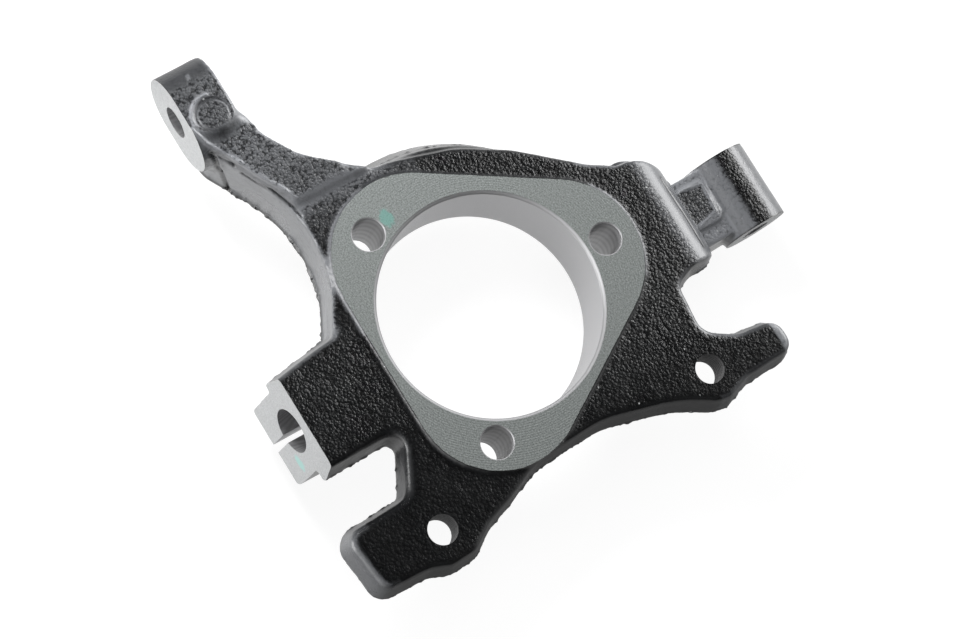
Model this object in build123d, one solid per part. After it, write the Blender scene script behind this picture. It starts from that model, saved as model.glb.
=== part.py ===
"""Front steering knuckle of a strut suspension, one iron casting with its machined faces and holes.

Frame: the origin is the centre of the hub bore on the machined hub face.
+Z runs out of that face towards the wheel, +Y points up the car and +X points to the caliper ears.
All sizes are in millimetres.
"""
from build123d import *
import os
from math import cos, hypot, radians, sin, tan

# ---- hub: bore, machined face and the bolts of the wheel bearing ----
hub_bore_d = 91.0
hub_depth = 32.6
hub_chamfer = 1.2
bearing_pcd = 110.6
bearing_hole_d = 13.2
bearing_boss_r = 13.5
bearing_boss_rear = 28.0
bolt_pocket_d = 23.0   # room for the head of the upper bearing bolt, behind the hub
barrel_r = 61.0
barrel_flare = 2.5     # widening of the barrel where it meets the flat casting
rib_r = 70.6           # curved rib behind the face, from the tie-rod arm to the strut mounting
rib_x = -7.3
rib_y = -3.7
rib_slope = 8.0        # how much the rib leans in over its height
rib_front = 6.0
rib_rear = 28.0
# rounded corners of the machined face, each at one bearing bolt: x, y, radius
pad_corners = [(-0.9, 34.9, 33.6), (-30.8, -15.2, 34.2), (28.6, -16.0, 33.5)]

# ---- casting ----
cast_face = 1.4        # how far the machined face stands above the cast skin
parting_depth = 13.0   # depth of the mould's parting plane under the machined face
draft_front = 13.0     # degrees, side walls above the parting plane
draft_rear = 5.0       # degrees, side walls under it
edge_round = 2.4
overlap = 0.5          # how far pieces run into one another where they are joined

# ---- caliper ears ----
ear_rear = 15.5
caliper_hole_x = 65.8
caliper_spacing = 128.0
caliper_hole_d = 12.2

# ---- ball-joint clamp ----
clamp_tilt = 10.0      # degrees between the clamp bore and the vertical
clamp_bore_d = 19.0
clamp_bore_depth = 28.0
clamp_x = 2.1
clamp_y = -91.0
clamp_z = -16.6
clamp_block_length = 29.0
clamp_left = 17.2      # bore axis to each side of the block and to its slotted rear
clamp_right = 18.2
clamp_rear = 22.8
clamp_front = -4.0     # where the block starts, inside the flat casting
clamp_bevel = 6.4      # sloping upper rear edge of the block
slit_width = 3.6
slit_offset = 0.5      # middle of the block, beside the bore axis
pinch_hole_d = 10.2
pinch_back = 13.4      # bore axis to pinch bolt axis
pinch_up = 15.0        # machined end face to pinch bolt axis

# ---- tie-rod arm ----
tie_x = -125.3
tie_face_y = -68.3
tie_length = 20.0
tie_z = -8.0
tie_hole_d = 13.5
tie_round_r = 15.5
tie_round_shift = 1.5  # middle of the ear beside the hole
tie_slot = 10.0        # straight part of the ear's rounded outline
arm_front = 1.8        # raised front of the arm, at its hub end
arm_front_x = -76.0
arm_rise = 4.0         # degrees, from there up towards the ear
arm_rear = 30.5
arm_draft = 1.5
panel_draft = 30.0     # degrees, sloping border of the raised front of the arm
panel_high = 9.0
collar_start = 2.0     # crescent below the ear, from its machined face to its full width
collar_end = 7.0
collar_spread = 8.0
collar_height = 24.0
mark_x = -117.2        # round raised spot on the front of the ear
mark_y = -57.6
mark_r = 7.5
mark_height = 16.0     # from the middle of the ear

# ---- strut mounting ----
strut_hole_d = 12.2
strut_boss_d = 28.0
strut_low_x = -8.8
strut_high_x = 25.0
strut_upper_y = 123.8
strut_upper_z = -27.0
strut_lower_y = 77.0
strut_lower_z = -37.0
shoulder_r = 15.0
shoulder_top_y = 96.5
shoulder_rear = 24.0
neck_front = 18.5
neck_rear = 41.0
neck_pad_width = 18.0  # raised spot on the front of the neck
neck_pad_height = 15.0
neck_pad_y = 104.0
neck_pad_x = 5.3       # from the low end of the bosses to the edge of the spot
neck_pad_rise = 1.5
neck_in_low = 0.8      # how far the neck stands back from each end of the bosses
neck_in_high = 2.8


def turn_at(corners, i):
    """Unit directions into and out of corner i, and the angle between them in radians."""
    x, y, _ = corners[i]
    x0, y0, _ = corners[i - 1]
    x1, y1, _ = corners[(i + 1) % len(corners)]
    before = Vector(x - x0, y - y0).normalized()
    after = Vector(x1 - x, y1 - y).normalized()
    return before, after, radians(before.get_angle(after))


def fitted_radii(corners):
    """Corner radii, shortened where the arcs at the two ends of a side would meet."""
    count = len(corners)
    radii = [r for _, _, r in corners]
    for _ in range(3):
        for i in range(count):
            j = (i + 1) % count
            side = hypot(corners[j][0] - corners[i][0], corners[j][1] - corners[i][1])
            used = radii[i] * tan(turn_at(corners, i)[2] / 2)
            used += radii[j] * tan(turn_at(corners, j)[2] / 2)
            if used > 0.96 * side:
                radii[i] *= 0.96 * side / used
                radii[j] *= 0.96 * side / used
    return radii


def outline(corners):
    """Closed face through (x, y, corner radius) points, straight runs joined by tangent arcs."""
    points = [(x, y) for x, y, _ in corners]
    return make_face(FilletPolyline(points, radius=fitted_radii(corners), close=True))


def drawn_in(corners, step):
    """The same outline, every side moved inwards by step (outline given anticlockwise)."""
    moved = []
    for i, (x, y, r) in enumerate(corners):
        before, after, _ = turn_at(corners, i)
        shift = step / (1 + before.dot(after))
        convex = before.X * after.Y > before.Y * after.X
        radius = r - step if convex else r + step
        x -= (before.Y + after.Y) * shift
        y += (before.X + after.X) * shift
        moved.append((x, y, max(radius, 0.4)))
    return moved


def slab(corners, low, high, draft):
    """Prism between two heights, drawn in by the draft as it leaves the low one."""
    step = abs(high - low) * tan(radians(draft))
    return loft(
        [Pos(0, 0, low) * outline(corners), Pos(0, 0, high) * outline(drawn_in(corners, step))],
        ruled=True,
    )


def top_edges(solid, height):
    """Edges of a solid that lie in the plane z = height."""
    return solid.edges().filter_by_position(Axis.Z, height - 0.01, height + 0.01)


def rounded_slab(corners, low, high, draft, r):
    """Slab whose upper edge is rounded."""
    neck = high - r - 0.3
    inset = drawn_in(corners, (neck - low) * tan(radians(draft)))
    cap = Pos(0, 0, neck) * extrude(outline(inset), high - neck)
    cap = fillet(top_edges(cap, high), r)
    return slab(corners, low, neck, draft) + cap


def round_bar(x, y, z, d, length, turn=(0, 0, 0)):
    """Cylinder that starts at a point and runs along z, or along the turned z."""
    return Pos(x, y, z) * Rot(*turn) * Cylinder(
        d / 2, length, align=(Align.CENTER, Align.CENTER, Align.MIN)
    )


def cone(x, y, low, high, low_r, high_r):
    """Cone along z between two heights."""
    return Pos(x, y, low) * Cone(
        low_r, high_r, high - low, align=(Align.CENTER, Align.CENTER, Align.MIN)
    )


# ---- outlines at the parting plane, anticlockwise: x, y, corner radius ----
body_corners = [
    (-17.4, -96, 1), (25.7, -96, 1), (25.7, -58.8, 3.5), (46.1, -70.3, 3), (46.9, -101.4, 8),
    (76.9, -98.3, 6.5), (78.3, -76.6, 4), (81.9, -68, 6), (81.5, -56, 7), (74.6, -45, 8),
    (71, -33.5, 20), (64.5, -17.5, 25), (63.8, 0, 60), (63.5, 15, 40), (72.2, 45.5, 60),
    (80.6, 59, 8), (82, 66, 6), (78.3, 77, 6), (77.8, 102.4, 7.5), (60.4, 102.4, 8.5), (57.6, 83.6, 6),
    (50.5, 72.4, 6), (32, 74.4, 3), (27.8, 86, 4), (-21, 86, 8), (-32, 68, 12), (-52, 44, 40),
    (-64, 24, 40), (-73, -6, 20), (-71, -41, 8), (-58, -46.4, 14), (-40.5, -49.4, 30),
    (-22.2, -60.8, 3), (-20.6, -76, 30),
]
arm_corners = [
    (-112, -65.4, 4), (-105, -64.6, 10), (-80, -50.8, 60), (-61, -46.9, 50), (-40, -49.7, 50),
    (-20, -61.4, 4), (-14, -63.5, 1), (-14, -45, 3), (-45, -20, 5), (-50, 1, 5),
    (-65.6, -0.4, 20), (-75.2, -17.2, 40), (-89.5, -35.2, 40), (-104, -43.7, 14),
    (-112.3, -44.8, 10), (-118.6, -48.6, 3), (-118.6, -60.4, 3),
]
panel_corners = [
    (-130, -78, 2), (-105.3, -65.4, 10), (-80, -51.2, 40), (-70.8, -47.2, 3), (-70.4, -4, 3),
    (-90, 0, 3), (-130, -30, 3),
]
shoulder_corners = [(30, 58, 3), (28.8, 97.5, 9), (-24.4, 97.5, 19), (-27, 58, 3)]


def bearing_bolts():
    """Centres of the three bearing bolts."""
    angles = [radians(angle) for angle in (90, 210, 330)]
    return [(bearing_pcd / 2 * cos(a), bearing_pcd / 2 * sin(a)) for a in angles]


def body():
    """Flat casting that carries the ears, the clamp and the hub."""
    front = rounded_slab(body_corners, -parting_depth, -cast_face, draft_front, edge_round)
    rear = slab(body_corners, -parting_depth, -ear_rear, draft_rear)
    return front + rear


def barrel():
    """Thick ring round the hub bore with the three bearing bolt bosses."""
    ring = cone(0, 0, -hub_depth, -cast_face - overlap, barrel_r - 1, barrel_r + 0.5)
    ring += cone(0, 0, -ear_rear - 3, -ear_rear, barrel_r - 0.5, barrel_r + barrel_flare)
    for x, y in bearing_bolts():
        ring += cone(x, y, -bearing_boss_rear, -parting_depth, bearing_boss_r, bearing_boss_r + 1.5)
    return ring


def side_rib():
    """Curved rib on the back, from the tie-rod arm round the hub to the strut mounting."""
    rib = cone(rib_x, rib_y, -rib_rear, -rib_front, rib_r, rib_r - rib_slope)
    far = 2 * rib_r
    wedge = make_face(Polyline((0, 0), (-far, -far / 3), (-far, far), (-far / 3, far), close=True))
    return rib & (Pos(0, 0, -hub_depth) * extrude(wedge, hub_depth))


def pad():
    """Machined hub face, a triangle with bowed corners."""
    circles = [Pos(x, y) * Circle(r).edge() for x, y, r in pad_corners]
    return Pos(0, 0, -cast_face - 4) * extrude(make_hull(circles), cast_face + 4)


def clamp_plane():
    """Machined end of the clamp: local z runs up the bore, local y towards the slit."""
    tilt = radians(clamp_tilt)
    return Plane(
        origin=(clamp_x, clamp_y, clamp_z), x_dir=(1, 0, 0), z_dir=(0, cos(tilt), -sin(tilt))
    )


def clamp_block():
    """Rear half of the ball-joint clamp."""
    section = [
        (-clamp_left, clamp_front, 1), (clamp_right, clamp_front, 1),
        (clamp_right, clamp_rear - 4, 3),
        (clamp_right - 1, clamp_rear, 2), (-clamp_left, clamp_rear, 2),
    ]
    block = extrude(outline(section), clamp_block_length)
    side = clamp_bevel * 2**0.5
    block -= Pos(0, clamp_rear, clamp_block_length) * Rot(45, 0, 0) * Box(60, side, side)
    return clamp_plane() * block


def arm():
    """Tie-rod arm, its raised front with a sloping border, and its ear."""
    lower = slab(arm_corners, -parting_depth, -arm_rear, arm_draft)
    upper = slab(arm_corners, -parting_depth, panel_high, arm_draft)
    border = slab(panel_corners, -cast_face - overlap, panel_high, panel_draft)
    below = Pos(0, 0, -parting_depth - 1) * extrude(
        Rectangle(400, 400), parting_depth + 1 - cast_face
    )
    over = Pos(arm_front_x, 0, arm_front) * Rot(0, arm_rise, 0) * extrude(Rectangle(200, 200), 20)
    upper = (upper & (border + below)) - over
    ear_x = tie_x + tie_round_shift
    ear = Plane.XZ.offset(-tie_face_y) * Pos(ear_x, tie_z) * SlotCenterToCenter(
        tie_slot, 2 * tie_round_r
    )
    ear = extrude(ear, -tie_length)
    collar = loft([
        Plane.XZ.offset(-tie_face_y - collar_start) * Pos(ear_x, tie_z)
        * SlotCenterToCenter(tie_slot, 2 * tie_round_r),
        Plane.XZ.offset(-tie_face_y - collar_end) * Pos(ear_x, tie_z)
        * SlotCenterToCenter(tie_slot, 2 * tie_round_r + collar_spread),
    ])
    half = collar_height / 2
    collar &= Pos(ear_x + half / 2, tie_face_y, tie_z) * Box(
        50, 50, collar_height, align=(Align.MIN, Align.CENTER, Align.CENTER)
    )
    mark = round_bar(mark_x, mark_y, tie_z, 2 * mark_r, mark_height)
    return lower + upper + ear + collar + mark


def strut_mount():
    """Shoulder, neck and the two bosses for the strut bolts."""
    profile = [
        (50, -cast_face, 1), (50, -shoulder_rear, 1), (shoulder_top_y - 3, -shoulder_rear, 1),
        (shoulder_top_y, -shoulder_rear + 3, 3), (shoulder_top_y, -cast_face, shoulder_r),
    ]
    shoulder = Pos(-40, 0, 0) * extrude(Plane.YZ * outline(profile), 80)
    shoulder &= (
        slab(shoulder_corners, -parting_depth, 0, draft_front)
        + slab(shoulder_corners, -parting_depth, -shoulder_rear - 1, draft_rear)
    )
    width = strut_high_x - strut_low_x
    along_x = (0, 90, 0)
    upper = round_bar(strut_low_x, strut_upper_y, strut_upper_z, strut_boss_d, width, along_x)
    lower = round_bar(strut_low_x, strut_lower_y, strut_lower_z, strut_boss_d, width, along_x)
    tongue_rear = strut_lower_z - strut_boss_d / 2
    neck_profile = [
        (58, -neck_front, 1), (58, -hub_depth + 2, 1), (strut_lower_y - 13, tongue_rear + 5, 3),
        (strut_lower_y, tongue_rear, 2), (strut_upper_y, -neck_rear, 1),
        (strut_upper_y, -neck_front, 1),
    ]
    neck = extrude(Plane.YZ * outline(neck_profile), width - neck_in_low - neck_in_high)
    neck = Pos(strut_low_x + neck_in_low, 0, 0) * neck
    raised = Pos(strut_low_x + neck_pad_x + neck_pad_width / 2, neck_pad_y, -neck_front) * Box(
        neck_pad_width, neck_pad_height, 2 * neck_pad_rise
    )
    raised = fillet(raised.edges().filter_by(Axis.Z), 3)
    return shoulder + upper + lower + neck + raised


def holes():
    """Everything the machining takes away."""
    cut = round_bar(0, 0, -60, hub_bore_d, 65)
    cut += cone(0, 0, -hub_chamfer, 1, hub_bore_d / 2, hub_bore_d / 2 + hub_chamfer + 1)
    for x, y in bearing_bolts():
        cut += round_bar(x, y, -60, bearing_hole_d, 65)
    cut += round_bar(0, bearing_pcd / 2, -60, bolt_pocket_d, 60 - hub_depth)
    for side in (-1, 1):
        cut += round_bar(caliper_hole_x, side * caliper_spacing / 2, -30, caliper_hole_d, 40)
    for y, z in ((strut_upper_y, strut_upper_z), (strut_lower_y, strut_lower_z)):
        cut += round_bar(-50, y, z, strut_hole_d, 100, (0, 90, 0))
    tie_start = tie_face_y - 5
    cut += round_bar(tie_x, tie_start, tie_z, tie_hole_d, tie_length + 20, (-90, 0, 0))
    end = clamp_plane()
    cut += end * Pos(0, 0, -30) * Box(80, 120, 60)
    cut += end * round_bar(0, 0, -2, clamp_bore_d, clamp_bore_depth + 2)
    slit_length = clamp_rear + 5
    cut += end * Pos(slit_offset, slit_length / 2, 0) * Box(
        slit_width, slit_length, 2 * clamp_block_length
    )
    cut += end * round_bar(-40, pinch_back, pinch_up, pinch_hole_d, 80, (0, 90, 0))
    return cut


def knuckle():
    """The finished casting."""
    solid = body() + barrel() + side_rib() + clamp_block() + arm() + strut_mount() + pad()
    return solid - holes()


if __name__ == "__main__":
    os.makedirs("parts", exist_ok=True)
    export_step(knuckle(), "parts/knuckle_casting.step")
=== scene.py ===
import math

import bpy
import numpy as np
from mathutils import Matrix, Vector, noise


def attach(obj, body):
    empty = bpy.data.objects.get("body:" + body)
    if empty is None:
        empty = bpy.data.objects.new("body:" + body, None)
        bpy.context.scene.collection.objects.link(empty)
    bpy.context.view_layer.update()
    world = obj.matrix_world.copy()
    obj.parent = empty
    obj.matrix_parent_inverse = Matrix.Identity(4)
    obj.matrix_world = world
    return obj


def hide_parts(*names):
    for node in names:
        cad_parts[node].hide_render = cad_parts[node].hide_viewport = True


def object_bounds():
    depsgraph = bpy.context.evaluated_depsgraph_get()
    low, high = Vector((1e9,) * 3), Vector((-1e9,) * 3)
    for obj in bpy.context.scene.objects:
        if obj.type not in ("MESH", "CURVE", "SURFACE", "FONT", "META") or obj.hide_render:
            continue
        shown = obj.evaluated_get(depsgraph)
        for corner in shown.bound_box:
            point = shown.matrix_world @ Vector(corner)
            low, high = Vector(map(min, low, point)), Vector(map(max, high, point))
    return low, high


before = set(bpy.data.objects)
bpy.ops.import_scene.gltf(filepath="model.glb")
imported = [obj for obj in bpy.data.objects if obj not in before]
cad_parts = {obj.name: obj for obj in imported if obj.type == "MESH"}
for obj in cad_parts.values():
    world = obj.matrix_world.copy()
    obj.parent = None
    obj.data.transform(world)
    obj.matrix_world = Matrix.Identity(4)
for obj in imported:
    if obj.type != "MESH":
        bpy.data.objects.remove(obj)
cad_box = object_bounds()
bpy.ops.object.select_all(action="DESELECT")

# ---------------------------------------------------------------- painted cast skin
# The knuckle is ductile iron poured in a sand mould and dipped in thin black paint. The paint
# follows the sand grain, so the skin is pebbled and satin, with a few chips down to the iron.
mm = 0.001


def add_node(tree, kind, place, **inputs):
    """Adds a node to a node tree and sets the named inputs."""
    node = tree.nodes.new(kind)
    node.location = place
    for key, value in inputs.items():
        node.inputs[key.replace("_", " ")].default_value = value
    return node


def blank_material(name):
    """A material with its shader, its output and the piece's own coordinates."""
    material = bpy.data.materials.new(name)
    material.use_nodes = True
    tree = material.node_tree
    shader = tree.nodes["Principled BSDF"]
    where = add_node(tree, "ShaderNodeTexCoord", (-1600, 0))
    return material, tree, shader, where.outputs["Object"]


def add_math(tree, operation, place, first, second=0.5):
    """Adds a math node; each input is a number or another node's output."""
    node = tree.nodes.new("ShaderNodeMath")
    node.operation = operation
    node.location = place
    for socket, value in zip(node.inputs, (first, second)):
        if isinstance(value, (int, float)):
            socket.default_value = value
        else:
            tree.links.new(value, socket)
    return node.outputs[0]


def add_ramp(tree, place, source, stops):
    """Adds a colour ramp with grey or coloured stops: (position, red, green, blue)."""
    node = add_node(tree, "ShaderNodeValToRGB", place)
    ends = node.color_ramp.elements
    for stop, (position, *colour) in enumerate(stops):
        element = ends[stop] if stop < 2 else ends.new(position)
        element.position = position
        element.color = (*colour, 1)
    tree.links.new(source, node.inputs["Fac"])
    return node.outputs["Color"]


def add_mix(tree, place, factor, first, second):
    """Mixes two colours by a factor; the second is a fixed colour or another node's output."""
    node = add_node(tree, "ShaderNodeMix", place)
    node.data_type = "RGBA"
    tree.links.new(factor, node.inputs["Factor"])
    tree.links.new(first, node.inputs["A"])
    if isinstance(second, tuple):
        node.inputs["B"].default_value = (*second, 1)
    else:
        tree.links.new(second, node.inputs["B"])
    return node.outputs["Result"]


def add_bump(tree, shader, height, strength, distance):
    """Gives the shader a fine relief from a height."""
    node = add_node(tree, "ShaderNodeBump", (-300, -150), Strength=strength, Distance=distance)
    tree.links.new(height, node.inputs["Height"])
    tree.links.new(node.outputs["Normal"], shader.inputs["Normal"])


skin, tree, shader, where = blank_material("painted_cast_skin")
pebbles = add_node(tree, "ShaderNodeTexVoronoi", (-1300, 300), Scale=820.0)
pebbles.feature = "SMOOTH_F1"
pebbles.inputs["Smoothness"].default_value = 0.25
grain = add_node(tree, "ShaderNodeTexNoise", (-1300, 0), Scale=2200.0, Detail=2.0)
swells = add_node(tree, "ShaderNodeTexNoise", (-1300, -300), Scale=420.0, Detail=2.0)
patches = add_node(tree, "ShaderNodeTexNoise", (-1300, -600), Scale=45.0, Detail=2.0)
for texture in (pebbles, grain, swells, patches):
    tree.links.new(where, texture.inputs["Vector"])
rough_mask = tree.nodes.new("ShaderNodeAttribute")
rough_mask.attribute_name = "rough_skin"
# This attribute mask carries painted light and shade into the paint colour.
painted_light_mask = tree.nodes.new("ShaderNodeAttribute")
painted_light_mask.attribute_name = "painted_light_and_shade"
rise = add_math(tree, "MULTIPLY", (-1050, 300), pebbles.outputs["Distance"], -1.4)
rise = add_math(tree, "ADD", (-850, 200), rise, grain.outputs["Fac"])
rise = add_math(tree, "ADD", (-650, 100), rise, swells.outputs["Fac"])
rise = add_math(tree, "SUBTRACT", (-600, 0), rise, 0.3)
relief = add_math(tree, "MULTIPLY", (-500, 0), rise, rough_mask.outputs["Fac"])
lifted = add_math(tree, "ADD", (-450, 500), relief, 0.6)
add_bump(tree, shader, relief, 1.0, 0.24 * mm)
paint = add_ramp(
    tree, (-400, 300), lifted, [(0.3, 0.001, 0.001, 0.0012), (0.9, 0.005, 0.0055, 0.006)]
)
# A pale grey where the mask is high: painted reflection and highlights on the black paint.
painted_highlight_tone = add_ramp(
    tree, (-400, 600), lifted, [(0.3, 0.04, 0.042, 0.046), (0.58, 0.215, 0.222, 0.236)]
)
painted_light_tone = add_mix(tree, (-150, 400), painted_light_mask.outputs["Fac"], paint, painted_highlight_tone)
speck_cells = add_node(tree, "ShaderNodeTexVoronoi", (-1300, 700), Scale=95.0)
tree.links.new(where, speck_cells.inputs["Vector"])
chip = add_math(tree, "LESS_THAN", (-1050, 700), speck_cells.outputs["Distance"], 0.038)
chipped = add_mix(tree, (0, 400), chip, painted_light_tone, (0.35, 0.36, 0.36))
tree.links.new(chipped, shader.inputs["Base Color"])
gloss = add_ramp(
    tree, (-400, -400), patches.outputs["Fac"], [(0.3, 0.25, 0.25, 0.25), (0.7, 0.34, 0.34, 0.34)]
)
tree.links.new(gloss, shader.inputs["Roughness"])
shader.inputs["IOR"].default_value = 1.95

# ---------------------------------------------------------------- rough casting
# The knuckle comes out of the mould as one lump of iron, with soft corners, rounded roots and a
# little extra metal where it will be machined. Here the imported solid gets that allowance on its
# machined ends, its holes are filled, and every corner and root is softened and made uneven.
allowance = 1.6 * mm
skin_cell = 0.95 * mm
softening_passes = 4

clamp_tilt = math.radians(10)
clamp_end = Vector((2.1, -91.0, -16.6)) * mm
clamp_up = Vector((0, math.cos(clamp_tilt), -math.sin(clamp_tilt)))
clamp_back = Vector((0, -math.sin(clamp_tilt), -math.cos(clamp_tilt)))
tie_middle = Vector((-125.3, -58.3, -8.0)) * mm
tie_face_y = -68.3 * mm
strut_low_x, strut_high_x = -8.8 * mm, 25.0 * mm
strut_bolts = [(123.8 * mm, -27.0 * mm), (77.0 * mm, -37.0 * mm)]
bearing_bolts = [
    (55.3 * mm * math.cos(math.radians(a)), 55.3 * mm * math.sin(math.radians(a)))
    for a in (90, 210, 330)
]
caliper_bolts = [(65.8 * mm, -64.0 * mm), (65.8 * mm, 64.0 * mm)]
# radius and length of the plug that closes each kind of hole, a little wider than the hole
hub_plug = 47.5 * mm, 31 * mm + 2 * allowance
bearing_plug = 8 * mm, 27 * mm + 2 * allowance
caliper_plug = 7 * mm, 14.1 * mm
clamp_plug = 10.5 * mm, 28 * mm + 2 * allowance
tie_plug = 8 * mm, 20 * mm + 2 * allowance


def bar(name, centre, direction, radius, length, end_radius=None, sides=96):
    """Round bar or cone about a centre, lying along a direction."""
    turn = Vector(direction).to_track_quat("Z", "Y").to_euler()
    end_radius = radius if end_radius is None else end_radius
    bpy.ops.mesh.primitive_cone_add(
        vertices=sides, radius1=radius, radius2=end_radius, depth=length,
        location=centre, rotation=turn,
    )
    shape = bpy.context.object
    shape.name = name
    bpy.ops.object.transform_apply(location=True, rotation=True, scale=True)
    return shape


def block(name, centre, size, tilt=0.0):
    """Rectangular block about a centre, tilted about X."""
    bpy.ops.mesh.primitive_cube_add(size=1, location=centre, rotation=(tilt, 0, 0))
    shape = bpy.context.object
    shape.name = name
    shape.scale = size
    bpy.ops.object.transform_apply(location=True, rotation=True, scale=True)
    return shape


def select_only(*shapes):
    """Selects these pieces alone; the first one is the active piece."""
    bpy.ops.object.select_all(action="DESELECT")
    for shape in shapes:
        shape.select_set(True)
    bpy.context.view_layer.objects.active = shapes[0]


def run_modifier(shape, kind, **settings):
    """Adds one modifier to a piece and applies it."""
    select_only(shape)
    modifier = shape.modifiers.new(kind.lower(), kind)
    for key, value in settings.items():
        setattr(modifier, key, value)
    bpy.ops.object.modifier_apply(modifier=modifier.name)


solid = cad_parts["knuckle_casting"]
casting = solid.copy()
casting.data = solid.data.copy()
casting.name = "cast_knuckle"
casting.parent = None
casting.matrix_world = solid.matrix_world
bpy.context.collection.objects.link(casting)
select_only(casting)
bpy.ops.object.mode_set(mode="EDIT")
bpy.ops.mesh.select_all(action="SELECT")
bpy.ops.mesh.remove_doubles(threshold=0.002 * mm)
bpy.ops.object.mode_set(mode="OBJECT")
bpy.ops.object.transform_apply(location=True, rotation=True, scale=True)

near = 0.05 * mm
for vertex in casting.data.vertices:
    point = vertex.co
    if abs(point.z) < near:
        point.z += allowance
    elif point.y < tie_face_y + near and point.x < -100 * mm:
        point.y -= allowance
    elif abs((point - clamp_end).dot(clamp_up)) < near:
        vertex.co = point - clamp_up * allowance

fills = [bar("fill", (0, 0, -15.5 * mm), (0, 0, 1), *hub_plug)]
for x, y in bearing_bolts:
    fills.append(bar("fill", (x, y, -13.5 * mm), (0, 0, 1), *bearing_plug))
for x, y in caliper_bolts:
    fills.append(bar("fill", (x, y, -8.45 * mm), (0, 0, 1), *caliper_plug))
clamp_middle = clamp_end + clamp_up * 13 * mm
fills.append(bar("fill", clamp_middle, clamp_up, *clamp_plug))
fills.append(bar("fill", tie_middle, (0, 1, 0), *tie_plug))
strut_middle = (strut_low_x + strut_high_x) / 2
strut_length = strut_high_x - strut_low_x
for y, z in strut_bolts:
    middle = (strut_middle, y, z)
    fills.append(bar("fill", middle, (1, 0, 0), 14 * mm, strut_length + 2 * allowance))
slit_middle = clamp_end + clamp_back * 15 * mm + clamp_up * 14 * mm + Vector((0.5 * mm, 0, 0))
slit_fill = (6 * mm, 29 * mm + 2 * allowance, 15.5 * mm)
fills.append(block("fill", slit_middle, slit_fill, -clamp_tilt))
select_only(casting, *fills)
bpy.ops.object.join()
run_modifier(casting, "REMESH", mode="VOXEL", voxel_size=skin_cell, adaptivity=0)
run_modifier(casting, "SMOOTH", factor=0.5, iterations=softening_passes)


def read_mesh():
    """Places and normals of the casting's vertices, as rows."""
    count = len(casting.data.vertices)
    places, normals = np.zeros(count * 3), np.zeros(count * 3)
    casting.data.vertices.foreach_get("co", places)
    casting.data.vertex_normals.foreach_get("vector", normals)
    return places.reshape(-1, 3), normals.reshape(-1, 3)


def line_distance(places, line):
    """Distance of every place from the nearest stretch of a bent line, given in mm."""
    nearest = np.full(len(places), 1.0)
    for start, end in zip(line, line[1:]):
        start, along = np.array(start) * mm, (np.array(end) - np.array(start)) * mm
        share = np.clip((places - start) @ along / (along @ along), 0, 1)
        gaps = np.linalg.norm(places - start - share[:, None] * along, axis=1)
        nearest = np.minimum(nearest, gaps)
    return nearest


def arc(x, y, z, radius, first, last, steps=16):
    """Places along a level arc, in mm and degrees."""
    angles = [math.radians(first + (last - first) * step / steps) for step in range(steps + 1)]
    return [(x + radius * math.cos(a), y + radius * math.sin(a), z) for a in angles]


def split_selected():
    """Splits the casting's selected faces once, so that finer forms fit on them."""
    bpy.ops.object.mode_set(mode="EDIT")
    bpy.ops.mesh.select_mode(type="FACE")
    bpy.ops.mesh.subdivide(number_cuts=1)
    bpy.ops.mesh.select_all(action="DESELECT")
    bpy.ops.object.mode_set(mode="OBJECT")


# The roots where the arm meets the ear and the hub are blended by hand in the pattern.
places, _ = read_mesh()
blended = casting.vertex_groups.new(name="blended_roots")
roots = [
    ([(-71.5, -56, 0.3), (-71.5, -42, 0.3), (-71.9, -25, 0.3), (-72, -8, 0.5)], 8.0),
    ([(-107, -66.5, 3.5), (-109, -62, 4.5), (-110, -56, 6), (-111.5, -48, 5.5)], 6.0),
    (
        [(27, -78, -1.4), (24, -66, -1.4), (24, -58, -1.4), (27, -54, -1.4), (32, -56, -1.4),
         (40, -62, -1.4), (47.5, -68.4, -1.6), (50.6, -76.5, -1.4), (51, -86, -1.4),
         (53, -96, -1.6), (62, -98.5, -2), (73, -97, -2)], 4.5,
    ),
]
for line, reach in roots:
    gaps = line_distance(places, line)
    for index in np.nonzero(gaps < reach * mm)[0]:
        blended.add([int(index)], 1 - (gaps[index] / (reach * mm)) ** 2, "REPLACE")
run_modifier(casting, "SMOOTH", factor=0.5, iterations=40, vertex_group="blended_roots")

# Raised and sunken lines left by the mould: the ring round the ear's inspection spot, the border
# of the arm, the seam over the side wall, the edge of the shoulder and the pad on the neck. Each
# has its places, its height (sunken where negative) and its width, in mm.
mould_lines = [
    (arc(-117.2, -57.6, 8, 7.0, 0, 360, 32), -0.8, 0.6),
    (arc(-117.2, -57.6, 7.6, 8.8, 170, 300), 0.5, 0.7),
    ([(-115.9, -67.8, 7.2), (-109.6, -65.4, 4.5), (-103.6, -61.6, 4), (-97, -57.4, 2.7)], 0.8, 0.8),
    ([(-97, -57.4, 2.7), (-89.4, -53.6, 2), (-80.4, -48.2, 2), (-74, -45, 1.7)], 0.6, 0.7),
    ([(-105.5, -64.9, 1.9), (-101, -62.4, 1), (-97.3, -59.5, 0.2)], -1.1, 0.7),
    (
        [(-93.4, -57.9, -1.9), (-87.8, -54.8, -2.5), (-82.1, -51.6, -0.7), (-72.4, -47.8, -1.4),
         (-67.5, -46.6, -1.4)], -1.0, 0.6,
    ),
    ([(-105, -64.8, 1.2), (-103, -64, -2), (-101, -63, -8), (-98.5, -61, -18), (-96, -59.2, -28)],
     -1.3, 0.9),
    ([(-10.5, 91.8, -5.3), (1.3, 91.9, -5.6), (10, 92.2, -5.9), (22, 91, -5.6)], -0.35, 0.7),
    ([(-8.2, 95.2, -10), (3.4, 96.4, -13), (14, 96, -13), (24, 93, -12)], 0.5, 0.7),
    ([(-3.7, 99.6, -17), (-1.7, 110.5, -17), (10.9, 109.3, -17), (13, 100.7, -17)], 0.5, 0.7),
    ([(-136.8, -57.8, 5.3), (-134.4, -58.4, 6.4)], 0.2, 0.3),
]
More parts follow.
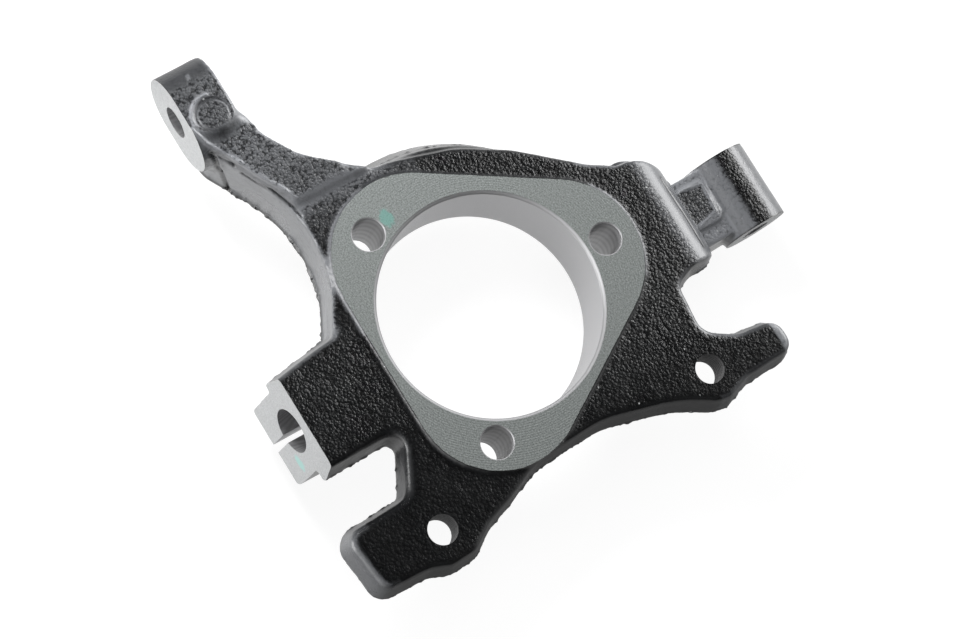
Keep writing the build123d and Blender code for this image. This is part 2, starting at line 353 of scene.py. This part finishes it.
for line, height, width in mould_lines:
    reach = max(0.3, 2.2 * width) * mm
    centres = np.zeros(len(casting.data.polygons) * 3)
    casting.data.polygons.foreach_get("center", centres)
    near_line = line_distance(centres.reshape(-1, 3), line) < reach + 0.5 * mm
    casting.data.polygons.foreach_set("select", near_line)
    split_selected()
    places, normals = read_mesh()
    gaps = line_distance(places, line)
    push = height * mm * np.exp(-((gaps / (width * mm)) ** 2))
    places += normals * np.where(gaps < reach, push, 0)[:, None]
    casting.data.vertices.foreach_set("co", places.ravel())
    casting.data.update()

# The two halves of the mould leave a thin ragged line of flash, 13 mm under the hub face round
# the body and at the lower edge of the long side wall.
flash_reach = 1.1 * mm
flash_height = 0.8 * mm
foot_z = -28.5 * mm
parting_z = -13 * mm
foot_lip = 0.6 * mm
fin_height = 1.5 * mm
for face in casting.data.polygons:
    spot = face.center
    face.select = (
        spot.y < -36 * mm and spot.x < -14 * mm and face.normal.y < -0.2
        and abs(spot.z - foot_z) < 2.2 * mm
    )
split_selected()
for vertex in casting.data.vertices:
    point, normal = vertex.co, vertex.normal
    on_wall = point.y < -38 * mm and point.x < -16 * mm and normal.y < -0.3
    line_z = foot_z if on_wall else parting_z
    away = abs(point.z - line_z) / flash_reach
    if away < 1 and abs(normal.z) < 0.6:
        ragged = noise.noise(point * 260) + 0.8 * noise.noise(point * 700) + 0.1
        fin = math.exp(-(((point.x + 28 * mm) ** 2 + (point.y - 81 * mm) ** 2) / (8 * mm) ** 2))
        lip = foot_lip if on_wall else fin_height * fin
        push = (flash_height * max(0.0, ragged) + lip) * (1 - away * away)
        vertex.co = point + Vector((normal.x, normal.y, 0)) * push

# The sand grain is coarse on the flat faces and fine on the drawn walls and slopes. A mask pales
# the black paint where light would fall: painted reflection on the walls facing the bright sides of
# the studio, on the shoulder and on the neck, painted highlights along the raised lines and the
# arm–hub root, and painted light over the arm. It stays low, painted shade, in the sunken lines and
# along the foot of the side wall.
places, normals = read_mesh()
x, y, z = places.T / mm
flat = np.clip((normals[:, 2] - 0.93) / 0.06, 0, 1)
flat = flat * flat * (3 - 2 * flat)
# Painted light: the arm's paint is paled more towards its outer end, most on its flat top.
arm_painted_light = np.clip((-48 - x) / 45, 0, 1) * np.where(x < -112, 0.7, 1)
arm_painted_light *= np.where(x < -122, flat, 0.4 + 0.6 * flat) * (z > -12) * (y < 5)
# Painted highlights along the raised mould lines and the arm–hub root; the sunken lines mark
# painted shade.
border, sunk = np.zeros(len(places)), np.zeros(len(places))
for line, height, width in mould_lines:
    band = np.exp(-((line_distance(places, line) / (1.5 * width * mm)) ** 2))
    if height > 0:
        border = np.maximum(border, band * min(1, height / 0.7))
    else:
        sunk = np.maximum(sunk, band)
for line, reach in roots[:1]:
    border = np.maximum(border, 0.6 * np.exp(-((line_distance(places, line) / (4 * mm)) ** 2)))
# Painted reflection on the neck round its pad.
on_neck = (y > 96) & (y < 113) & (z > -24)
on_pad = (np.abs(x - 4.2) < 7.5) & (y < 109.5)
border = np.maximum(border, np.where(on_neck & ~on_pad, 0.85, 0))
# Painted reflection on walls and slopes, most on the long side wall, the strut side and the clamp
# end, weak where a wall faces down.
sideways = np.abs(normals[:, 1]) / np.maximum(np.hypot(normals[:, 0], normals[:, 1]), 0.01)
walls = (1 - flat) * np.where(normals[:, 2] > -0.4, 1, 0.3) * (0.2 + 0.8 * sideways)
painted_reflection_side = np.maximum.reduce(
    [(x < -14) & (y < -20), y > 62, 0.8 * ((y < -88) & (x > 40))]
).astype(float)
walls *= 0.12 + 0.88 * painted_reflection_side
# Painted shade: a dark band along the foot of the long side wall, where the mask is cut back.
foot = np.where((x < -14) & (y < -36), np.exp(-(((z - foot_z / mm) / 1.1) ** 2)), 0)
calm = np.clip((x - 0.2 * y - 8) / 50, 0, 1)
# Painted reflection on the shoulder slope.
shoulder = np.clip((y - 80) / 7, 0, 1) * (y < 97) * (x > -26) * (x < 29)
painted_light_and_shade = np.clip(0.75 * walls + 0.36 * arm_painted_light + 0.8 * border + 0.2 * on_neck, 0, 1)
painted_light_and_shade = np.maximum(painted_light_and_shade, 0.75 * shoulder)
painted_light_and_shade *= (1 - 0.9 * sunk) * (1 - foot)
rough_skin = (0.2 + 0.8 * flat) * (1 - 0.7 * border) * (1 - 0.55 * calm) * (1 - 0.75 * shoulder)
for name, values in (("rough_skin", rough_skin), ("painted_light_and_shade", painted_light_and_shade)):
    values_on = casting.data.attributes.new(name, "FLOAT", "POINT")
    values_on.data.foreach_set("value", values.astype(np.float32))
grainy = casting.vertex_groups.new(name="coarse_sand")
for index in np.nonzero(flat > 0.02)[0]:
    grainy.add([int(index)], float(flat[index] * rough_skin[index]), "REPLACE")
for name, cell, depth, group in (
    ("hand_swells", 7 * mm, 0.25 * mm, ""),
    ("sand_grain", 1.8 * mm, 0.28 * mm, "coarse_sand"),
):
    lumps = bpy.data.textures.new(name, "CLOUDS")
    lumps.noise_scale = cell
    lumps.noise_depth = 1
    run_modifier(
        casting, "DISPLACE", texture=lumps, texture_coords="LOCAL", strength=depth, mid_level=0.5,
        vertex_group=group,
    )
casting.data.materials.clear()
casting.data.materials.append(skin)

# ---------------------------------------------------------------- machined faces
# The hub face is turned flat on a lathe, the clamp end, the tie-rod seat and the cheeks of the
# strut bosses are milled. They are bare grey iron. A dab of green marking paint is on the hub
# face and one on the clamp end, where the inspector passed the part.
def node_group(name, output, **inputs):
    """A new node group with its sockets, and the nodes that bring values in and out."""
    tree = bpy.data.node_groups.new(name, "ShaderNodeTree")
    for socket, kind in inputs.items():
        tree.interface.new_socket(socket, in_out="INPUT", socket_type="NodeSocket" + kind)
    socket, kind = output
    tree.interface.new_socket(socket, in_out="OUTPUT", socket_type="NodeSocket" + kind)
    came_in = add_node(tree, "NodeGroupInput", (-1100, 0))
    return tree, came_in, add_node(tree, "NodeGroupOutput", (700, 0))


speckle, given, result = node_group(
    "iron_speckle", ("Color", "Color"), Vector="Vector", Dark="Color", Light="Color"
)
fine = add_node(speckle, "ShaderNodeTexNoise", (-650, 200), Scale=3300.0, Detail=2.0)
broad = add_node(speckle, "ShaderNodeTexNoise", (-650, -200), Scale=1500.0, Detail=5.0)
for texture in (fine, broad):
    speckle.links.new(given.outputs["Vector"], texture.inputs["Vector"])
both = add_math(speckle, "ADD", (-400, 0), fine.outputs["Fac"], broad.outputs["Fac"])
share = add_math(speckle, "MULTIPLY_ADD", (-200, 0), both, 2.2)
speckle.nodes[-1].inputs[2].default_value = -1.7
speckle.nodes[-1].use_clamp = True
blend = add_mix(speckle, (100, 0), share, given.outputs["Dark"], given.outputs["Light"])
speckle.links.new(blend, result.inputs["Color"])

dab, given, result = node_group(
    "marking_paint_dab", ("Mask", "Float"),
    Vector="Vector", Middle="Vector", Stretch="Vector", Strength="Float",
)
offset = add_node(dab, "ShaderNodeVectorMath", (-900, 0))
offset.operation = "SUBTRACT"
dab.links.new(given.outputs["Vector"], offset.inputs[0])
dab.links.new(given.outputs["Middle"], offset.inputs[1])
squeeze = add_node(dab, "ShaderNodeVectorMath", (-700, 0))
squeeze.operation = "DIVIDE"
dab.links.new(offset.outputs[0], squeeze.inputs[0])
dab.links.new(given.outputs["Stretch"], squeeze.inputs[1])
radius = add_node(dab, "ShaderNodeVectorMath", (-500, 0))
radius.operation = "LENGTH"
dab.links.new(squeeze.outputs[0], radius.inputs[0])
edge = add_node(dab, "ShaderNodeTexNoise", (-700, -300), Scale=420.0, Detail=3.0)
dab.links.new(given.outputs["Vector"], edge.inputs["Vector"])
inside = add_math(dab, "SUBTRACT", (-300, 0), edge.outputs["Fac"], radius.outputs["Value"])
inside = add_math(dab, "ADD", (-100, 0), inside, 0.5)
inside = add_math(dab, "MULTIPLY", (100, 0), inside, 3.0)
dab.nodes[-1].use_clamp = True
inside = add_math(dab, "MULTIPLY", (300, 0), inside, given.outputs["Strength"])
dab.links.new(inside, result.inputs["Mask"])


def iron_tone(tree, where, place, dark, light):
    """Puts the iron speckle in a material, between two greys."""
    node = add_node(tree, "ShaderNodeGroup", place)
    node.node_tree = speckle
    tree.links.new(where, node.inputs["Vector"])
    node.inputs["Dark"].default_value = (*dark, 1)
    node.inputs["Light"].default_value = (*light, 1)
    return node.outputs["Color"]


def marked(tree, where, colour, middle, stretch, strength, paint):
    """Lays one dab of marking paint over a colour."""
    node = add_node(tree, "ShaderNodeGroup", (-500, 500))
    node.node_tree = dab
    tree.links.new(where, node.inputs["Vector"])
    node.inputs["Middle"].default_value = middle
    node.inputs["Stretch"].default_value = stretch
    node.inputs["Strength"].default_value = strength
    return add_mix(tree, (-250, 300), node.outputs["Mask"], colour, paint)


hub_face, tree, shader, where = blank_material("turned_hub_face")
shader.inputs["Metallic"].default_value = 0.25
shader.inputs["Roughness"].default_value = 0.5
tone = iron_tone(tree, where, (-800, 200), (0.125, 0.137, 0.134), (0.3, 0.32, 0.311))
tone = marked(
    tree, where, tone, (-50.3 * mm, -17.8 * mm, 0), (4.2 * mm, 3.2 * mm, 5 * mm), 0.55,
    (0.13, 0.36, 0.31),
)
tree.links.new(tone, shader.inputs["Base Color"])
rings = add_node(tree, "ShaderNodeTexWave", (-800, -200), Scale=330.0, Distortion=0.8, Detail=2.0)
rings.wave_type = "RINGS"
rings.rings_direction = "Z"
tree.links.new(where, rings.inputs["Vector"])
add_bump(tree, shader, rings.outputs["Fac"], 0.7, 0.06 * mm)

seat_face, tree, shader, where = blank_material("milled_seat_faces")
shader.inputs["Metallic"].default_value = 0.3
shader.inputs["Roughness"].default_value = 0.45
tone = iron_tone(tree, where, (-800, 200), (0.46, 0.47, 0.475), (0.62, 0.63, 0.635))
tone = marked(
    tree, where, tone, (13.6 * mm, -92.6 * mm, -25.9 * mm), (4.4 * mm, 9 * mm, 2.5 * mm), 0.95,
    (0.42, 0.68, 0.64),
)
tree.links.new(tone, shader.inputs["Base Color"])
strokes = add_node(tree, "ShaderNodeTexWave", (-800, -200), Scale=260.0, Distortion=1.5, Detail=2.0)
strokes.bands_direction = "X"
tree.links.new(where, strokes.inputs["Vector"])
add_bump(tree, shader, strokes.outputs["Fac"], 0.25, 0.03 * mm)


def cut_away(cutters, finish):
    """Cuts a set of tools that do not touch each other; the new faces get their finish."""
    for cutter in cutters:
        cutter.data.materials.clear()
        cutter.data.materials.append(finish)
    select_only(*cutters)
    if len(cutters) > 1:
        bpy.ops.object.join()
    tools = bpy.context.object
    run_modifier(
        casting, "BOOLEAN", object=tools, operation="DIFFERENCE", solver="MANIFOLD",
        material_mode="TRANSFER",
    )
    bpy.data.objects.remove(tools)


turned_r = 69.7 * mm   # how far the lathe tool turns the hub face
cut_away([bar("hub_mill", (0, 0, 10 * mm), (0, 0, 1), turned_r, 20 * mm)], hub_face)
end_middle = clamp_end - clamp_up * 10 * mm
seats = [
    block("clamp_mill", end_middle, (60 * mm, 20 * mm, 80 * mm), -clamp_tilt),
    block("tie_mill", (-124 * mm, tie_face_y - 10 * mm, -8 * mm), (50 * mm, 20 * mm, 50 * mm)),
]
for x, side in ((strut_low_x, -1), (strut_high_x, 1)):
    out = x + side * 10 * mm
    seats.append(block("cheek_mill", (out, 124 * mm, -27 * mm), (20 * mm, 31 * mm, 31 * mm)))
    seats.append(block("cheek_mill", (out, 77 * mm, -38.6 * mm), (20 * mm, 30 * mm, 28 * mm)))
cut_away(seats, seat_face)

# ---------------------------------------------------------------- bored holes
# The hub bore with its chamfer, the bolt holes, the clamp bore with its sawn slit and the cross
# hole for the pinch bolt. Their walls are bare, with fine rings left by the tool.
hub_bore_r = 45.5 * mm
bearing_hole_r = 6.6 * mm
caliper_hole_r = 6.1 * mm
strut_hole_r = 6.1 * mm
tie_hole_r = 6.75 * mm
clamp_bore_r = 9.5 * mm
pinch_hole_r = 5.1 * mm
slit_size = (3.6 * mm, 60 * mm, 34 * mm)


def ringed_walls(name, dark, light, scale, depth):
    """Bare hole wall with the rings of its tool, between two greys."""
    material, tree, shader, where = blank_material(name)
    shader.inputs["Metallic"].default_value = 0.45
    shader.inputs["Roughness"].default_value = 0.4
    rings = add_node(tree, "ShaderNodeTexWave", (-800, -200), Scale=scale, Distortion=1.5)
    rings.bands_direction = "Z"
    rings.inputs["Detail"].default_value = 2.0
    tree.links.new(where, rings.inputs["Vector"])
    tone = add_ramp(
        tree, (-500, 200), rings.outputs["Fac"],
        [(0.1, dark, dark, dark * 1.02), (0.8, light, light, light * 1.02)],
    )
    tree.links.new(tone, shader.inputs["Base Color"])
    add_bump(tree, shader, rings.outputs["Fac"], 0.8, depth)
    return material


bored = ringed_walls("bored_walls", 0.38, 0.5, 300.0, 0.05 * mm)
reamed = ringed_walls("reamed_walls", 0.27, 0.36, 60.0, 0.07 * mm)
# The caliper holes' walls get a much darker grey than the other bores.
drilled = ringed_walls("drilled_walls", 0.05, 0.2, 170.0, 0.3 * mm)
bores = [
    bar("bore", (0, 0, -20 * mm), (0, 0, 1), hub_bore_r, 60 * mm, sides=256),
    bar("bore", clamp_end + clamp_up * 12 * mm, clamp_up, clamp_bore_r, 32 * mm),
    bar("drill", tie_middle, (0, 1, 0), tie_hole_r, 60 * mm),
]
edges = [bar("bore_edge", (0, 0, 0), (0, 0, 1), 45.4 * mm, 2.8 * mm, 48.2 * mm, sides=256)]
for x, y in bearing_bolts:
    edges.append(bar("drill_edge", (x, y, 0), (0, 0, 1), 6.55 * mm, 1 * mm, 7.55 * mm))
for y, z in strut_bolts:
    bores.append(bar("drill", (7 * mm, y, z), (1, 0, 0), strut_hole_r, 100 * mm))
edges.append(block("saw", slit_middle + clamp_back * 2 * mm, slit_size, -clamp_tilt))
pinch = clamp_end + clamp_back * 13.4 * mm + clamp_up * 15 * mm
cut_away(bores, bored)
cut_away(edges, bored)
cut_away([bar("drill", pinch, (1, 0, 0), pinch_hole_r, 60 * mm)], bored)
cut_away(
    [bar("drill", (x, y, -10 * mm), (0, 0, 1), caliper_hole_r, 30 * mm) for x, y in caliper_bolts],
    drilled,
)
cut_away(
    [bar("drill", (x, y, -30 * mm), (0, 0, 1), bearing_hole_r, 70 * mm) for x, y in bearing_bolts],
    reamed,
)
select_only(casting)
bpy.ops.object.shade_smooth_by_angle(angle=math.radians(35))
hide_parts("knuckle_casting")
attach(casting, "root")

# ---------------------------------------------------------------- floor
# A wide pale table under the part. It glows white to the camera, with the part's faint shadow on
# it. In reflections its glow is white below the part, dim to the far left and right, and dark
# beside the rib: painted shade in what the walls and the rib reflect.
floor_z = cad_box[0].z - 0.2 * mm
bpy.ops.mesh.primitive_plane_add(size=6, location=(0, 0, floor_z))
floor = bpy.context.object
floor.name = "floor"
bpy.ops.object.transform_apply(location=True, rotation=True, scale=True)


def add_range(tree, place, source, near_value, far_value, near_result, far_result):
    """Maps a distance between two values to a result between two others."""
    node = add_node(
        tree, "ShaderNodeMapRange", place,
        From_Min=near_value, From_Max=far_value, To_Min=near_result, To_Max=far_result,
    )
    tree.links.new(source, node.inputs["Value"])
    return node.outputs[0]


paper, tree, shader, where = blank_material("white_paper")
shader.inputs["Base Color"].default_value = (0.85, 0.85, 0.85, 1)
shader.inputs["Roughness"].default_value = 0.9
faint = add_node(tree, "ShaderNodeBsdfDiffuse", (-200, -200))
faint.inputs["Color"].default_value = (0.2, 0.2, 0.2, 1)
glow = add_node(tree, "ShaderNodeEmission", (-200, -400))
lit = add_node(tree, "ShaderNodeAddShader", (50, -300))
tree.links.new(faint.outputs[0], lit.inputs[0])
tree.links.new(glow.outputs[0], lit.inputs[1])
path = add_node(tree, "ShaderNodeLightPath", (-600, 400))
across = add_node(tree, "ShaderNodeSeparateXYZ", (-1300, -400))
tree.links.new(where, across.inputs[0])
# Painted shade in reflections: the glow dims off a strip under the part.
off_strip = add_math(tree, "ADD", (-1150, -400), across.outputs["X"], 0.06)
off_strip = add_math(tree, "ABSOLUTE", (-1050, -400), off_strip)
dimmed = add_range(tree, (-1000, -400), off_strip, 0.07, 0.14, 0.85, 0.12)
# Painted shade in reflections: a dark patch in the glow beside the rib.
beside_rib = add_node(tree, "ShaderNodeVectorMath", (-1300, -700))
beside_rib.operation = "DISTANCE"
beside_rib.inputs[1].default_value = (-0.09, 0.025, 0)
tree.links.new(where, beside_rib.inputs[0])
rib_shade = add_range(tree, (-1000, -700), beside_rib.outputs["Value"], 0.035, 0.05, 0.1, 1)
reflected = add_math(tree, "MULTIPLY", (-800, -400), dimmed, rib_shade)
seen_white = add_math(tree, "MULTIPLY", (-800, -600), path.outputs["Is Camera Ray"], 0.9)
brightness = add_math(tree, "MAXIMUM", (-500, -500), reflected, seen_white)
tree.links.new(brightness, glow.inputs["Strength"])
seen = add_math(
    tree, "MAXIMUM", (-300, 400), path.outputs["Is Camera Ray"], path.outputs["Is Glossy Ray"]
)
mix = add_node(tree, "ShaderNodeMixShader", (300, 0))
tree.links.new(seen, mix.inputs[0])
tree.links.new(shader.outputs[0], mix.inputs[1])
tree.links.new(lit.outputs[0], mix.inputs[2])
tree.links.new(mix.outputs[0], tree.nodes["Material Output"].inputs["Surface"])
floor.data.materials.append(paper)

# ---------------------------------------------------------------- light and camera
# A dark studio with a bright wall at the strut side and one at the clamp side, so that flat
# black paint stays black and every slope towards them shines. Soft lamps fill it.
world = bpy.data.worlds.new("studio")
bpy.context.scene.world = world
world.use_nodes = True
tree = world.node_tree
heading = add_node(tree, "ShaderNodeTexCoord", (-1100, 0))
parts = add_node(tree, "ShaderNodeSeparateXYZ", (-900, 0))
tree.links.new(heading.outputs["Generated"], parts.inputs[0])
aside = add_math(tree, "ABSOLUTE", (-700, 0), parts.outputs["Y"])
# a ramp starts with two stops, so the middle one is given last
bright_walls = add_ramp(
    tree, (-500, 0), aside,
    [(0.35, 0.01, 0.01, 0.01), (0.92, 1, 1, 1), (0.6, 0.12, 0.12, 0.12)],
)
tree.links.new(bright_walls, tree.nodes["Background"].inputs["Color"])


def lamp(name, place, size, power, gloss=True):
    """Square soft lamp that looks at the hub."""
    light = bpy.data.lights.new(name, "AREA")
    light.size = size
    light.energy = power
    holder = bpy.data.objects.new(name, light)
    holder.location = place
    holder.rotation_euler = Vector(place).to_track_quat("Z", "Y").to_euler()
    holder.visible_glossy = gloss
    bpy.context.collection.objects.link(holder)


lamp("low_lamp", (-0.5, -1.25, 0.3), 0.8, 6.0)
lamp("high_lamp", (-0.15, 1.3, 0.5), 0.8, 7.0)
lamp("near_lamp", (-0.33, -0.02, 0.28), 0.22, 2.7, gloss=False)
lamp("top_lamp", (-0.4, 0.1, 1.3), 0.8, 3.0, gloss=False)

right = Vector((0.5252, 0.8256, 0.2063))
down = Vector((0.8445, -0.4758, -0.2458))
ahead = Vector((-0.1048, 0.3033, -0.9471))
stand = Matrix((right, -down, -ahead)).transposed().to_4x4()
stand.translation = (0.1137, -0.3278, 1.0012)
camera = bpy.data.objects.new("camera", bpy.data.cameras.new("camera"))
camera.data.lens = 101.25
camera.data.sensor_width = 36
camera.data.clip_start = 0.01
camera.matrix_world = stand
bpy.context.collection.objects.link(camera)
bpy.context.scene.camera = camera
bpy.context.scene.view_settings.view_transform = "Standard"
